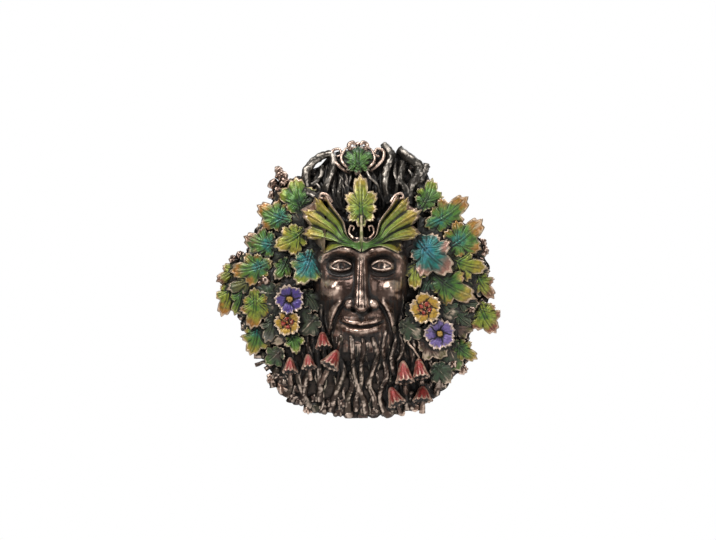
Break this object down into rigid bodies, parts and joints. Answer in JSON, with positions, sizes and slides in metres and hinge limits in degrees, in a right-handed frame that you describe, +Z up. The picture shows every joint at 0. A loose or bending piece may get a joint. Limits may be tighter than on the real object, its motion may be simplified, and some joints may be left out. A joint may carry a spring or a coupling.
{
  "type": "wall plaque",
  "caption": "Green man wall plaque: a foliate head in relief with leaves, flowers, mushrooms and a root beard, cast in one piece and hung from a keyhole in its flat back.",
  "frame": {"origin": "middle of the flat back, where it bears on the wall", "axes": "+Z up, +X to the viewer's right, -Y out of the wall towards the viewer"},
  "size_m": [0.2564, 0.0635, 0.252],
  "materials": {
    "bronze_resin": "cast resin with a dark cold-bronze skin, rubbed bright on the high points"
  },
  "bodies": {
    "root": {"green_man_plaque": "bronze_resin"}
  },
  "joints": []
}
